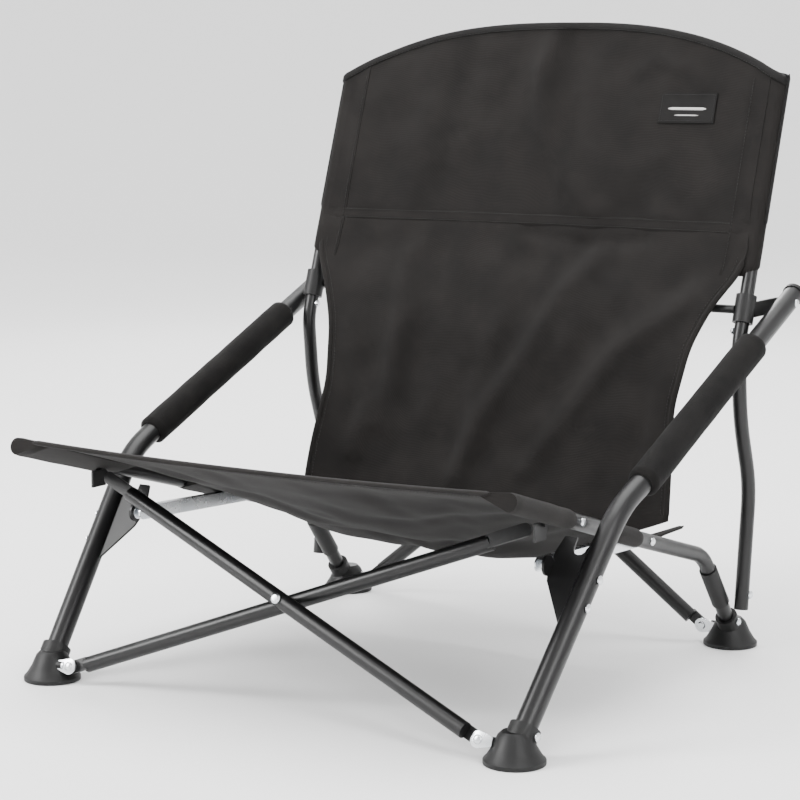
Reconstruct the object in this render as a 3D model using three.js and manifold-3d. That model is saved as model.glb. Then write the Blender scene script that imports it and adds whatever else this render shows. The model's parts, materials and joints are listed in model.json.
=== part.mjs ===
// Folding low camp chair: two tube side frames joined by crossed tubes, with a fabric sling.
// Millimetres, +Z up, the chair faces -Y. Every point is (x, y, z) for the right side, x > 0;
// the left side is its mirror image. Until the last lines y = 0 is the front feet's centre.
import * as THREE from 'three';
import { mergeVertices } from 'three/addons/utils/BufferGeometryUtils.js';
import Module from 'manifold-3d';

const wasm = await Module();
wasm.setup();

// ---- driving dimensions ----
const GAP = 0.3; // clearance between touching pieces
const LEG_R = 11; // bent front leg and armrest tube
const RAIL_R = 8; // seat rail, which bends down into the rear leg
const UPRIGHT_R = 7.6; // back upright
const CROSS_R = 8; // crossed tubes
const FOAM_R = 15.8;
const SHEET_T = 3; // thickness of the fabric solids

const LEG_FOOT = [275, 4, 20]; // lower end of the front leg's centre line
const LEG_BEND = [293, 157, 210]; // corner between leg and armrest
const ARM_START = [296.5, 205, 230.8];
const ARM_END = [296.5, 545, 378];
const FOAM_START_Y = 196;
const FOAM_END_Y = 446;

const RAIL_TIP = [282, -22, 241];
const RAIL_KNEE = [252, 296, 150]; // the rail stops spreading here, and the lock link pivots here
const RAIL_BEND = [252, 428, 112];
const REAR_LEG_END = [252, 498, 24];
const REAR_SLEEVE = [22, 76]; // plastic sleeve on the rear leg, from the bend down

const UPRIGHT_X = 272.7;
const UPRIGHT_PATH = [[482, 46], [497, 178], [470, 252], [462, 330]]; // (y, z)
const UPRIGHT_PIVOT = [487, 62];
const COLLAR_AT = [475, 368];
const UPRIGHT_TOP = 256; // from the collar to the top, along the tube
const COLLAR_HALF = 15;
const BRACKET_CLEAR = 9; // beside the crossed tube's flat end, which sways as the chair folds
const FLANGE_R = 4.5; // inboard stub of the collar, beside the crossed tube's upper end
const FLANGE_STEP = 6;
const BACK_SLEEVE_FROM = 26; // above the collar
const ARM_PIVOT = [530, 368]; // (y, z), where the armrest meets the collar's bracket

const FRONT_HINGE = [241.5, -7, 18]; // crossed tube's double pivot beside the front foot
const FRONT_TOP = [243, 65, 200]; // and its upper end under the other rail
const REAR_HINGE = [217.5, 509, 18];
const REAR_TOP = [230, 475, 368]; // beside the collar
const FLAT_FOOT = 15; // length of the flattened lower ends of the crossed tubes
const FLAT_FRONT_TOP = 38;
const FLAT_REAR_TOP = 28;
const BEND_STEPS = 5;
const LAP = CROSS_R + 0.4; // each crossed tube lies this far off the plane of its pivots

const FRONT_FOOT = [272, 0];
const REAR_FOOT = [249.5, 507];
const FOOT_R = 29;
const FOOT_H = 30;

const LINK_PIVOT = [106, 159]; // (y, z), lock link on the lock plate
const LINK_X = 239.2;
const LINK_W = 9;
const LINK_H = 14;
const PLATE_T = 2.5;

const SEAT_FRONT = -20;
const SEAT_REAR = 384;
const SEAT_LIFT = 12; // the panel's edge above the rail's centre line
const SEAT_SAG = [[-40, 3], [60, 12], [200, 34], [300, 44], [420, 40]]; // (y, sag at the middle)
const SEAT_ROWS = 8;
const LEG_GAP = [104, 200]; // the seat's side sleeves leave this stretch of rail bare
const SLEEVE_REAR = 262;
const SCREW_Y = 114;
const BACK_ROWS = 12;
const BACK_CORNER = 606; // height of the back's top corners
const BACK_ARCH = 56;
const BACK_LOW_EDGE = 156;
const BACK_LOW_SAG = 50;
const BACK_Y = [[60, 378], [110, 383], [156, 393], [240, 412], [320, 436], [372, 452], [412, 477],
  [700, 575]]; // (z, y)
const BACK_HALF = [[150, 226], [200, 224], [285, 220], [340, 228], [376, 244], [404, 260], [700, 260]];
const LABEL_AT = [172, 574]; // (x, z)
const LABEL_SIZE = [64, 30];

// ---- materials ----
const finish = (color, roughness, metalness) => ({ color, roughness, metalness });
const FINISHES = {
  frame: finish(0x1b1a1c, 0.35, 0.6),
  zinc: finish(0xd4d6d6, 0.3, 1),
  plastic: finish(0x1a1a1b, 0.55, 0),
  foam: finish(0x201f1e, 0.95, 0),
  fabric: finish(0x24211f, 0.95, 0),
  label: finish(0x151414, 0.8, 0),
};

const chair = new THREE.Group();

function add(name, finishName, geometry) {
  const mesh = new THREE.Mesh(geometry, new THREE.MeshStandardMaterial(FINISHES[finishName]));
  mesh.name = name;
  chair.add(mesh);
}

// ---- solids ----
function toSolid(geometry) {
  const bare = geometry.clone();
  bare.deleteAttribute('normal');
  bare.deleteAttribute('uv');
  const merged = mergeVertices(bare, 1e-4);
  const triVerts = [];
  for (let i = 0; i < merged.index.count; i += 3) {
    const [a, b, c] = [0, 1, 2].map((k) => merged.index.getX(i + k));
    if (a !== b && b !== c && c !== a) triVerts.push(a, b, c);
  }
  const vertProperties = new Float32Array(merged.attributes.position.array);
  return new wasm.Manifold(
    new wasm.Mesh({ numProp: 3, vertProperties, triVerts: new Uint32Array(triVerts) }),
  );
}

function toGeometry(solid) {
  const mesh = solid.getMesh();
  const geometry = new THREE.BufferGeometry();
  const points = new Float32Array(mesh.vertProperties);
  geometry.setAttribute('position', new THREE.BufferAttribute(points, 3));
  geometry.setIndex(new THREE.BufferAttribute(new Uint32Array(mesh.triVerts), 1));
  geometry.computeVertexNormals();
  return geometry;
}

function join(...geometries) {
  return toGeometry(geometries.map(toSolid).reduce((whole, piece) => whole.add(piece)));
}

function cut(body, ...tools) {
  return toGeometry(tools.map(toSolid).reduce((whole, tool) => whole.subtract(tool), toSolid(body)));
}

// ---- places ----
const vec = (p) => new THREE.Vector3(...p);
const mirror = (p, side) => [side * p[0], p[1], p[2]];
const inPlane = (x, yz, side) => [side * x, yz[0], yz[1]];
const unit = (from, to) => vec(to).sub(vec(from)).normalize();
const along = (from, direction, distance) => vec(from).addScaledVector(direction, distance).toArray();

function place(geometry, origin, xAxis, yAxis) {
  const zAxis = new THREE.Vector3().crossVectors(xAxis, yAxis);
  const matrix = new THREE.Matrix4().makeBasis(xAxis, yAxis, zAxis).setPosition(vec(origin));
  return geometry.applyMatrix4(matrix);
}

// A turned geometry's own axis is Y; this lays it from one point towards another.
function layAlong(geometry, from, to) {
  const turn = new THREE.Quaternion().setFromUnitVectors(new THREE.Vector3(0, 1, 0), unit(from, to));
  return geometry.applyQuaternion(turn).translate(...from);
}

function rod(from, to, radius, sides = 16) {
  const length = vec(from).distanceTo(vec(to));
  const cylinder = new THREE.CylinderGeometry(radius, radius, length, sides);
  return layAlong(cylinder.translate(0, length / 2, 0), from, to);
}

function sleeve(from, to, inner, outer, chamfer, sides = 16) {
  const length = vec(from).distanceTo(vec(to));
  const outline = [
    [inner, 0], [outer - chamfer, 0], [outer, chamfer],
    [outer, length - chamfer], [outer - chamfer, length], [inner, length], [inner, 0],
  ];
  const profile = outline.map(([r, h]) => new THREE.Vector2(r, h));
  return layAlong(new THREE.LatheGeometry(profile, sides), from, to);
}

function rivet(centre, axis, headRadius, headHeight) {
  const outline = [
    [0, 0], [headRadius, 0], [headRadius, headHeight * 0.4],
    [headRadius * 0.62, headHeight * 0.9], [0, headHeight],
  ];
  const profile = outline.map(([r, h]) => new THREE.Vector2(r, h));
  return layAlong(new THREE.LatheGeometry(profile, 12), centre, along(centre, axis, 1));
}

// A route given by its points, so that an extrusion has one step from each point to the next.
class Route extends THREE.Curve {
  constructor(points) {
    super();
    this.points = points;
  }

  getPoint(t, target = new THREE.Vector3()) {
    const at = t * (this.points.length - 1);
    const i = Math.min(Math.floor(at), this.points.length - 2);
    return target.lerpVectors(this.points[i], this.points[i + 1], at - i);
  }

  getPointAt(u, target) {
    return this.getPoint(u, target);
  }

  getTangentAt(u, target) {
    return this.getTangent(u, target);
  }
}

// A round tube along straight stretches with a smooth bend at each inner corner.
function bentTube(points, radius, bendReach) {
  const route = [vec(points[0])];
  for (let i = 1; i < points.length - 1; i += 1) {
    const reach = bendReach[i - 1];
    const entry = vec(along(points[i], unit(points[i], points[i - 1]), reach));
    const exit = vec(along(points[i], unit(points[i], points[i + 1]), reach));
    route.push(...new THREE.QuadraticBezierCurve3(entry, vec(points[i]), exit).getPoints(BEND_STEPS));
  }
  route.push(vec(points.at(-1)));
  const section = new THREE.Shape().absarc(0, 0, radius, 0, Math.PI * 2, false);
  const extrudePath = new Route(route);
  const options = { steps: route.length - 1, curveSegments: 7, bevelEnabled: false, extrudePath };
  return new THREE.ExtrudeGeometry(section, options);
}

function plate(outline, thickness) {
  const shape = new THREE.Shape(outline.map(([x, y]) => new THREE.Vector2(x, y)));
  return new THREE.ExtrudeGeometry(shape, { depth: thickness, bevelEnabled: false });
}

// A closed solid through a row of sections that all have the same number of points.
function loft(sections) {
  const count = sections[0].length;
  const positions = sections.flat(2);
  const faces = [];
  for (let s = 0; s < sections.length - 1; s += 1) {
    for (let i = 0; i < count; i += 1) {
      const a = s * count + i;
      const b = s * count + ((i + 1) % count);
      faces.push(a, b, a + count, b, b + count, a + count);
    }
  }
  const half = count / 2;
  const last = (sections.length - 1) * count;
  for (let i = 0; i < half - 1; i += 1) {
    const [a, b, c, d] = [i, i + 1, count - 2 - i, count - 1 - i];
    faces.push(a, d, b, b, d, c);
    faces.push(last + a, last + b, last + d, last + b, last + c, last + d);
  }
  const geometry = new THREE.BufferGeometry();
  geometry.setAttribute('position', new THREE.Float32BufferAttribute(positions, 3));
  geometry.setIndex(faces);
  geometry.computeVertexNormals();
  return geometry;
}

// ---- feet ----
// A domed pad with a socket for its tube and a boss that the crossed tube's swivel turns on.
function foot(centre, tubeEnd, tubeTop, tubeR, hinge, side) {
  const outline = [
    [0, 0], [FOOT_R, 0], [FOOT_R, 4], [FOOT_R - 3, 7], [FOOT_R - 8, 15],
    [FOOT_R - 13, FOOT_H - 4], [FOOT_R - 17, FOOT_H], [0, FOOT_H],
  ];
  const profile = outline.map(([r, h]) => new THREE.Vector2(r, h));
  const dome = new THREE.LatheGeometry(profile, 24).rotateX(Math.PI / 2).translate(...centre, 0);
  const up = unit(tubeEnd, tubeTop);
  const socket = rod(along(tubeEnd, up, -6), along(tubeEnd, up, 14), tubeR + 4, 20);
  const boss = rod([side * (hinge[0] + EAR_FROM + 2.1), hinge[1], hinge[2]], [centre[0], hinge[1], hinge[2]], 5);
  const bore = rod(along(tubeEnd, up, -GAP), along(tubeEnd, up, 60), tubeR + GAP, 20);
  return cut(join(dome, socket, boss), bore);
}

// ---- crossed tubes: a flattened tongue at each end, lapped on its swivel ----
const TONGUE_R = 6.5;
const TONGUE_T = 3;
const EAR_FROM = TONGUE_R + GAP; // the swivel's ear clears the turning tongue

function crossAxes(hinge, top) {
  const dy = top[1] - hinge[1];
  const dz = top[2] - hinge[2];
  const length = Math.hypot(dy, dz);
  return new THREE.Vector3(0, -dz / length, dy / length);
}

function crossTube(hinge, top, side, lapSide, flatTop) {
  const normal = crossAxes(hinge, top).multiplyScalar(lapSide);
  const from = mirror(hinge, side);
  const to = mirror(top, -side);
  const axis = unit(from, to);
  const length = vec(from).distanceTo(vec(to));
  const centre = (distance) => along(along(from, axis, distance), normal, LAP);
  const tube = rod(centre(FLAT_FOOT), centre(length - flatTop), CROSS_R);
  const tongue = (distance, towards, reach) => {
    const shape = new THREE.Shape();
    shape.absarc(0, 0, TONGUE_R, Math.PI / 2, (Math.PI * 3) / 2, false);
    shape.lineTo(reach + 3, -TONGUE_R);
    shape.lineTo(reach + 3, TONGUE_R);
    const flat = new THREE.ExtrudeGeometry(shape, {
      depth: TONGUE_T, curveSegments: 10, bevelEnabled: false,
    });
    const inward = axis.clone().multiplyScalar(towards);
    const across = new THREE.Vector3().crossVectors(normal, inward);
    const seat = along(along(from, axis, distance), normal, 1.8);
    return place(flat, seat, inward, across);
  };
  return join(tube, tongue(0, 1, FLAT_FOOT), tongue(length, -1, flatTop));
}

// The swivel beside a foot: a round flat under the tongue and an ear against the foot.
function swivel(hinge, top, side) {
  const normal = crossAxes(hinge, top);
  const centre = mirror(hinge, side);
  const outward = new THREE.Vector3(side, 0, 0);
  const disc = rod(along(centre, normal, -1.5), along(centre, normal, 1.5), TONGUE_R - 0.5);
  const ear = rod(along(centre, outward, EAR_FROM), along(centre, outward, EAR_FROM + 1.8), 5.2);
  const bridge = rod(centre, along(centre, outward, EAR_FROM + 1), 1.4, 10);
  return join(disc, ear, bridge);
}

// ---- one side frame ----
const railX = (y) => {
  const share = (RAIL_KNEE[1] - y) / (RAIL_KNEE[1] - RAIL_TIP[1]);
  return RAIL_KNEE[0] + (RAIL_TIP[0] - RAIL_KNEE[0]) * Math.max(0, share);
};
const railZ = (y) => {
  const share = (RAIL_KNEE[1] - y) / (RAIL_KNEE[1] - RAIL_TIP[1]);
  return RAIL_KNEE[2] + (RAIL_TIP[2] - RAIL_KNEE[2]) * share;
};
const armZ = (y) => {
  const share = (y - ARM_START[1]) / (ARM_END[1] - ARM_START[1]);
  return ARM_START[2] + (ARM_END[2] - ARM_START[2]) * share;
};
const UPRIGHT_CORNER = UPRIGHT_PATH.at(-1);
const slideLength = Math.hypot(COLLAR_AT[0] - UPRIGHT_CORNER[0], COLLAR_AT[1] - UPRIGHT_CORNER[1]);
const SLIDE = new THREE.Vector3(
  0,
  (COLLAR_AT[0] - UPRIGHT_CORNER[0]) / slideLength,
  (COLLAR_AT[1] - UPRIGHT_CORNER[1]) / slideLength,
);

function legAndArm(side, tag) {
  const points = [LEG_FOOT, LEG_BEND, ARM_START, ARM_END].map((p) => mirror(p, side));
  add(`leg_arm_${tag}`, 'frame', bentTube(points, LEG_R, [26, 22]));
  const foamPoint = (y) => [side * ARM_START[0], y, armZ(y)];
  const foam = sleeve(foamPoint(FOAM_START_Y + 34), foamPoint(FOAM_END_Y), LEG_R + GAP, FOAM_R, 3, 20);
  add(`foam_grip_${tag}`, 'foam', foam);
  const end = mirror(ARM_END, side);
  const out = unit(mirror(ARM_START, side), end);
  add(`arm_cap_${tag}`, 'plastic', rod(along(end, out, GAP), along(end, out, 5), LEG_R + 1, 20));
  const centre = mirror([...FRONT_FOOT, 0], side).slice(0, 2);
  const pad = foot(centre, mirror(LEG_FOOT, side), mirror(LEG_BEND, side), LEG_R, FRONT_HINGE, side);
  add(`front_foot_${tag}`, 'plastic', pad);
}

function rail(side, tag) {
  const points = [RAIL_TIP, RAIL_KNEE, RAIL_BEND, REAR_LEG_END].map((p) => mirror(p, side));
  add(`seat_rail_${tag}`, 'frame', bentTube(points, RAIL_R, [20, 18]));
  const down = unit(mirror(RAIL_BEND, side), mirror(REAR_LEG_END, side));
  const [from, to] = REAR_SLEEVE.map((distance) => along(mirror(RAIL_BEND, side), down, distance));
  add(`rear_sleeve_${tag}`, 'plastic', sleeve(from, to, RAIL_R + GAP, RAIL_R + 1.6, 0.4));
  const centre = mirror([...REAR_FOOT, 0], side).slice(0, 2);
  const pad = foot(centre, mirror(REAR_LEG_END, side), mirror(RAIL_BEND, side), RAIL_R, REAR_HINGE, side);
  add(`rear_foot_${tag}`, 'plastic', pad);
}

function railBracket(side, tag) {
  const outline = [[-11, -9], [9, -9], [13, 4], [9, 8], [-11, 8]];
  const flat = plate(outline, PLATE_T);
  const x = FRONT_TOP[0] + EAR_FROM + BRACKET_CLEAR;
  const origin = [side > 0 ? x : -x - PLATE_T, FRONT_TOP[1], FRONT_TOP[2]];
  place(flat, origin, new THREE.Vector3(0, 1, 0), new THREE.Vector3(0, 0, 1));
  const y = FRONT_TOP[1] + 3;
  const foothold = rod([side * (x + 1), y, railZ(y) - 9], [side * (railX(y) - 8.6), y, railZ(y) - 9], 3);
  add(`rail_bracket_${tag}`, 'frame', join(flat, foothold));
}

function upright(side, tag) {
  const path = UPRIGHT_PATH.map((yz) => inPlane(UPRIGHT_X, yz, side));
  const collarAt = inPlane(UPRIGHT_X, COLLAR_AT, side);
  const top = along(collarAt, SLIDE, UPRIGHT_TOP);
  add(`upright_${tag}`, 'frame', bentTube([...path, top], UPRIGHT_R, [26, 26, 14]));
  const inward = new THREE.Vector3(-side, 0, 0);
  const stud = along(along(collarAt, SLIDE, -COLLAR_HALF - 9), inward, UPRIGHT_R + 0.4);
  add(`collar_stop_${tag}`, 'zinc', rivet(stud, inward, 4, 3.5));
}

function collar(side, tag) {
  const at = inPlane(UPRIGHT_X, COLLAR_AT, side);
  const low = along(at, SLIDE, -COLLAR_HALF);
  const high = along(at, SLIDE, COLLAR_HALF);
  const ring = rod(low, high, UPRIGHT_R + 3.4, 20);
  const bore = rod(along(low, SLIDE, -1), along(high, SLIDE, 1), UPRIGHT_R + GAP, 20);
  const reach = ARM_PIVOT[0] - COLLAR_AT[0];
  const arm = new THREE.BoxGeometry(3, reach + 4, 16);
  arm.translate(side * (UPRIGHT_X + 9.5), COLLAR_AT[0] + reach / 2 + 4, ARM_PIVOT[1]);
  const web = new THREE.BoxGeometry(9, 30, 5);
  web.translate(side * (UPRIGHT_X + 6.5), COLLAR_AT[0] + 17, ARM_PIVOT[1]);
  // The flange steps away from the crossed tube that laps it.
  const flangeY = COLLAR_AT[0] - side * FLANGE_STEP;
  const flange = rod(
    [side * (UPRIGHT_X - 8), flangeY, COLLAR_AT[1]],
    [side * (REAR_TOP[0] + 9.2), flangeY, COLLAR_AT[1]],
    FLANGE_R,
  );
  add(`collar_${tag}`, 'plastic', cut(join(ring, arm, web, flange), bore));
}

// The lock plate stands across the chair, with a notch that the rail drops into under load.
function lockPlate(side, tag) {
  const up = unit(LEG_FOOT, LEG_BEND);
  const flatUp = new THREE.Vector3(0, up.y, up.z).normalize();
  const rise = (z) => (z - LEG_FOOT[2]) / flatUp.z;
  const edge = (z) => LEG_FOOT[0] + (up.x / up.z) * (z - LEG_FOOT[2]) - LEG_R - 2 * GAP;
  const notch = [];
  for (let i = 0; i <= 6; i += 1) {
    const angle = Math.PI + (Math.PI * i) / 6;
    notch.push([268.5 + 6.6 * Math.cos(angle), rise(173) + 6.6 * Math.sin(angle)]);
  }
  const inboard = LINK_X + LINK_W / 2 + 0.5;
  const outline = [
    [edge(112), rise(112)], [inboard + 2, rise(144)], [inboard, rise(150)], [inboard, rise(168)],
    [inboard + 5, rise(182)], [261.9, rise(182)], ...notch, [edge(178), rise(178)],
  ];
  const web = plate(outline.map(([x, v]) => [side * x, v]), PLATE_T).translate(0, 0, -PLATE_T / 2);
  place(web, [0, LEG_FOOT[1], LEG_FOOT[2]], new THREE.Vector3(1, 0, 0), flatUp);
  const ear = rod(
    inPlane(inboard, LINK_PIVOT, side), inPlane(inboard + PLATE_T, LINK_PIVOT, side), 10, 20,
  );
  add(`lock_plate_${tag}`, 'frame', join(web, ear));
}

// A folded steel channel, open underneath, between the lock plate and the rail.
function lockLink(side, tag) {
  const from = [0, ...LINK_PIVOT];
  const to = [0, RAIL_KNEE[1], RAIL_KNEE[2]];
  const length = vec(from).distanceTo(vec(to));
  const shape = new THREE.Shape();
  shape.absarc(0, 0, LINK_H / 2, Math.PI / 2, (Math.PI * 3) / 2, false);
  shape.absarc(length, 0, LINK_H / 2, -Math.PI / 2, Math.PI / 2, false);
  const bar = new THREE.ExtrudeGeometry(shape, {
    depth: LINK_W, curveSegments: 8, bevelEnabled: false,
  });
  bar.translate(0, 0, -LINK_W / 2);
  const trough = new THREE.BoxGeometry(length + LINK_H * 2, LINK_H, LINK_W - 2 * 1.6);
  trough.translate(length / 2, -1.8, 0);
  const forward = unit(from, to);
  const upward = new THREE.Vector3(0, -forward.z, forward.y);
  const channel = place(cut(bar, trough), [side * LINK_X, ...LINK_PIVOT], forward, upward);
  add(`lock_link_${tag}`, 'zinc', channel);
}

function fasteners(side, tag) {
  const out = new THREE.Vector3(side, 0, 0);
  const legUp = unit(mirror(LEG_FOOT, side), mirror(LEG_BEND, side));
  const onLeg = (distance, lift) => along(along(mirror(LEG_FOOT, side), legUp, distance), out, lift);
  const footHead = onLeg(6, LEG_R + 4 + GAP);
  const legHeads = [onLeg(138, LEG_R + GAP), onLeg(168, LEG_R + GAP), footHead];
  legHeads.forEach((at, i) => add(`leg_rivet_${i + 1}_${tag}`, 'zinc', rivet(at, out, 4.5, 2.5)));
  const rearUp = unit(mirror(REAR_LEG_END, side), mirror(RAIL_BEND, side));
  const rearFoot = along(along(mirror(REAR_LEG_END, side), rearUp, 6), out, RAIL_R + 4 + GAP);
  const onRail = (y) => inPlane(railX(y) + RAIL_R + 2 * GAP, [y, railZ(y)], side);
  const railHeads = [onRail(RAIL_KNEE[1] - 4), onRail(SCREW_Y), rearFoot];
  railHeads.forEach((at, i) => add(`rail_rivet_${i + 1}_${tag}`, 'zinc', rivet(at, out, 4.2, 2.4)));
  const onUpright = inPlane(UPRIGHT_X + UPRIGHT_R + GAP, UPRIGHT_PIVOT, side);
  add(`upright_rivet_${tag}`, 'zinc', rivet(onUpright, out, 4.6, 2.4));
}

// ---- fabric ----
// A sheet of even thickness: rows of middle points, each row with the direction of its thickness.
function sheet(rows, thickness) {
  const sections = rows.map(({ points, normal }) => {
    const shift = (p, distance) => along(p, normal, distance);
    const front = points.map((p) => shift(p, thickness / 2));
    const rear = points.map((p) => shift(p, -thickness / 2)).reverse();
    return [...front, ...rear];
  });
  return loft(sections);
}

const spread = (count) => Array.from({ length: count }, (_, i) => (2 * i) / (count - 1) - 1);
const mix = (table, at) => {
  const i = Math.max(1, table.findIndex(([key]) => key >= at));
  const [[k0, v0], [k1, v1]] = [table[i - 1], table[i]];
  return v0 + ((v1 - v0) * (at - k0)) / (k1 - k0);
};

function seatPanel() {
  const rows = [];
  for (let i = 0; i <= SEAT_ROWS; i += 1) {
    const y = SEAT_FRONT + ((SEAT_REAR - SEAT_FRONT) * i) / SEAT_ROWS;
    const half = railX(y) - RAIL_R - 2.3;
    const sag = mix(SEAT_SAG, y);
    const points = spread(9).map((u) => [u * half, y, railZ(y) + SEAT_LIFT - sag * (1 - u * u)]);
    rows.push({ points, normal: new THREE.Vector3(0, 0, 1) });
  }
  add('seat_panel', 'fabric', sheet(rows, SHEET_T));
}

const backY = (z) => mix(BACK_Y, z);

function backPanel() {
  const rows = [];
  for (let i = 0; i <= BACK_ROWS; i += 1) {
    const share = i / BACK_ROWS;
    const points = spread(9).map((u) => {
      const low = BACK_LOW_EDGE - BACK_LOW_SAG * (1 - u * u);
      const high = BACK_CORNER + BACK_ARCH * (1 - u * u);
      const z = low + (high - low) * share;
      const edge = BACK_LOW_EDGE + (BACK_CORNER - BACK_LOW_EDGE) * share;
      return [u * mix(BACK_HALF, edge), backY(z), z];
    });
    const z = points[2][2];
    const lean = (backY(z + 5) - backY(z - 5)) / 10;
    rows.push({ points, normal: new THREE.Vector3(0, -1, lean).normalize() });
  }
  add('back_panel', 'fabric', sheet(rows, SHEET_T));
}

function labelPatch() {
  const lean = new THREE.Vector3(0, backY(LABEL_AT[1] + 10) - backY(LABEL_AT[1] - 10), 20).normalize();
  const patch = new THREE.BoxGeometry(LABEL_SIZE[0], LABEL_SIZE[1], 1);
  const front = new THREE.Vector3(0, -lean.z, lean.y);
  const seat = [LABEL_AT[0], backY(LABEL_AT[1]), LABEL_AT[1]];
  const origin = along(seat, front, SHEET_T / 2 + 0.5 + GAP);
  add('label_patch', 'label', place(patch, origin, new THREE.Vector3(1, 0, 0), lean));
}

function fabricSleeves(side, tag) {
  const onRail = (y) => [side * railX(y), y, railZ(y)];
  const ring = (from, to, tubeR) => sleeve(from, to, tubeR + GAP, tubeR + 1.8, 0.4);
  add(`seat_sleeve_front_${tag}`, 'fabric', ring(onRail(SEAT_FRONT), onRail(LEG_GAP[0]), RAIL_R));
  add(`seat_sleeve_rear_${tag}`, 'fabric', ring(onRail(LEG_GAP[1]), onRail(SLEEVE_REAR), RAIL_R));
  const collarAt = inPlane(UPRIGHT_X, COLLAR_AT, side);
  const low = along(collarAt, SLIDE, BACK_SLEEVE_FROM);
  const high = along(collarAt, SLIDE, UPRIGHT_TOP - 4);
  add(`back_sleeve_${tag}`, 'fabric', ring(low, high, UPRIGHT_R));
}

// ---- assembly ----
for (const [side, tag] of [[1, 'R'], [-1, 'L']]) {
  rail(side, tag);
  railBracket(side, tag);
  legAndArm(side, tag);
  lockPlate(side, tag);
  lockLink(side, tag);
  upright(side, tag);
  collar(side, tag);
  fasteners(side, tag);
  fabricSleeves(side, tag);
  // The tube from the right foot passes in front of the one from the left foot.
  add(`front_cross_tube_${tag}`, 'frame', crossTube(FRONT_HINGE, FRONT_TOP, side, side, FLAT_FRONT_TOP));
  add(`rear_cross_tube_${tag}`, 'frame', crossTube(REAR_HINGE, REAR_TOP, side, side, FLAT_REAR_TOP));
  add(`front_swivel_${tag}`, 'zinc', swivel(FRONT_HINGE, FRONT_TOP, side));
  add(`rear_swivel_${tag}`, 'zinc', swivel(REAR_HINGE, REAR_TOP, side));
}

function crossRivet(name, hinge, top) {
  const normal = crossAxes(hinge, top);
  const share = hinge[0] / (hinge[0] + top[0]);
  const middle = [0, hinge[1] + (top[1] - hinge[1]) * share, hinge[2] + (top[2] - hinge[2]) * share];
  const face = along(middle, normal, LAP + CROSS_R + GAP);
  add(name, 'zinc', rivet(face, normal, 5.2, 3));
}
crossRivet('front_cross_rivet', FRONT_HINGE, FRONT_TOP);
crossRivet('rear_cross_rivet', REAR_HINGE, REAR_TOP);
seatPanel();
backPanel();
labelPatch();

// The origin moves under the middle of the whole chair.
chair.updateMatrixWorld(true);
const box = new THREE.Box3().setFromObject(chair, true);
const middle = box.getCenter(new THREE.Vector3());
chair.position.set(-middle.x, -middle.y, -box.min.z);

export default chair;
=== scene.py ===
"""Folding camp chair: fabric, stitching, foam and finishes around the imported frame."""
import json
import math

import bpy
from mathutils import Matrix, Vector, noise


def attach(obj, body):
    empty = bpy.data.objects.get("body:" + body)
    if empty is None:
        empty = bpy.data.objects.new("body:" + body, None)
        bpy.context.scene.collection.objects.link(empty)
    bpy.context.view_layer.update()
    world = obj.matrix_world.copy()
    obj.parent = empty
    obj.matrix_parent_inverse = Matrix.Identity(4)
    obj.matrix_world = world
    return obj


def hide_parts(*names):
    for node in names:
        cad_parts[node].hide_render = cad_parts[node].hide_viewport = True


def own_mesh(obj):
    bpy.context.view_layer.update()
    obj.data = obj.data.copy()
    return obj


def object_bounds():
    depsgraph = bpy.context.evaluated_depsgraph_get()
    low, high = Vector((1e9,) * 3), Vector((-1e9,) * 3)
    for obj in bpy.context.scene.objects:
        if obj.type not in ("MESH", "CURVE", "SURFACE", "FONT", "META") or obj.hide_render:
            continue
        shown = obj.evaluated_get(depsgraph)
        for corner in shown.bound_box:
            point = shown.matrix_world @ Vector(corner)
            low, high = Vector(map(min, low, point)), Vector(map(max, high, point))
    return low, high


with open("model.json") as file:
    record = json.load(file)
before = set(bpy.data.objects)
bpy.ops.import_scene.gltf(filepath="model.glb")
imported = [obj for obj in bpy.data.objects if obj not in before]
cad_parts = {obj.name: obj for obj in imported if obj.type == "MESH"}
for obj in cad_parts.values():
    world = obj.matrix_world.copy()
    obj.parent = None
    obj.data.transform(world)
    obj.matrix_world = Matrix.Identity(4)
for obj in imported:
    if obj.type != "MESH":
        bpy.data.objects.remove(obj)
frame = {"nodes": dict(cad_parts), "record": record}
CAD_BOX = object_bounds()
NODES = frame["nodes"]
RECORD = frame["record"]
MM = 0.001
SIDES = ((1, "R"), (-1, "L"))

# ---- places worked out from the frame, in metres ----
MOUNTS = {m["name"]: m["pos_m"] for m in RECORD["mounts"]}
FRONT_Y = MOUNTS["front_foot_R_base"][1]  # the middle of the front feet


def at(x, y, z):
    """A point from millimetres, with y counted back from the front feet."""
    return Vector((x * MM, FRONT_Y + y * MM, z * MM))


def smooth(t):
    t = min(1.0, max(0.0, t))
    return t * t * (3 - 2 * t)


def table(rows, key):
    """The value at key, in a straight line between rows of (key, value)."""
    if key <= rows[0][0]:
        return rows[0][1]
    for (k0, v0), (k1, v1) in zip(rows, rows[1:]):
        if key <= k1:
            return v0 + (v1 - v0) * (key - k0) / (k1 - k0)
    return rows[-1][1]


def eased(rows, key, reach=14):
    """The same, with its corners rounded over reach on each side."""
    steps = 5
    offsets = [reach * (2 * i / (steps - 1) - 1) for i in range(steps)]
    return sum(table(rows, key + d) for d in offsets) / steps


# ---- fabric outline, in millimetres ----
CLOTH = 1.6  # thickness of the fabric
RAIL_R = 8.0
POST_R = 7.6
RAIL_TIP = (282, -22, 241)
RAIL_KNEE = (252, 296, 150)
POST_X = 272.7
COLLAR = (475, 368)  # (y, z) of the middle of the collar on the upright
POST_LEAN = 13 / 38  # how far the upright leans back for each millimetre up

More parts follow.
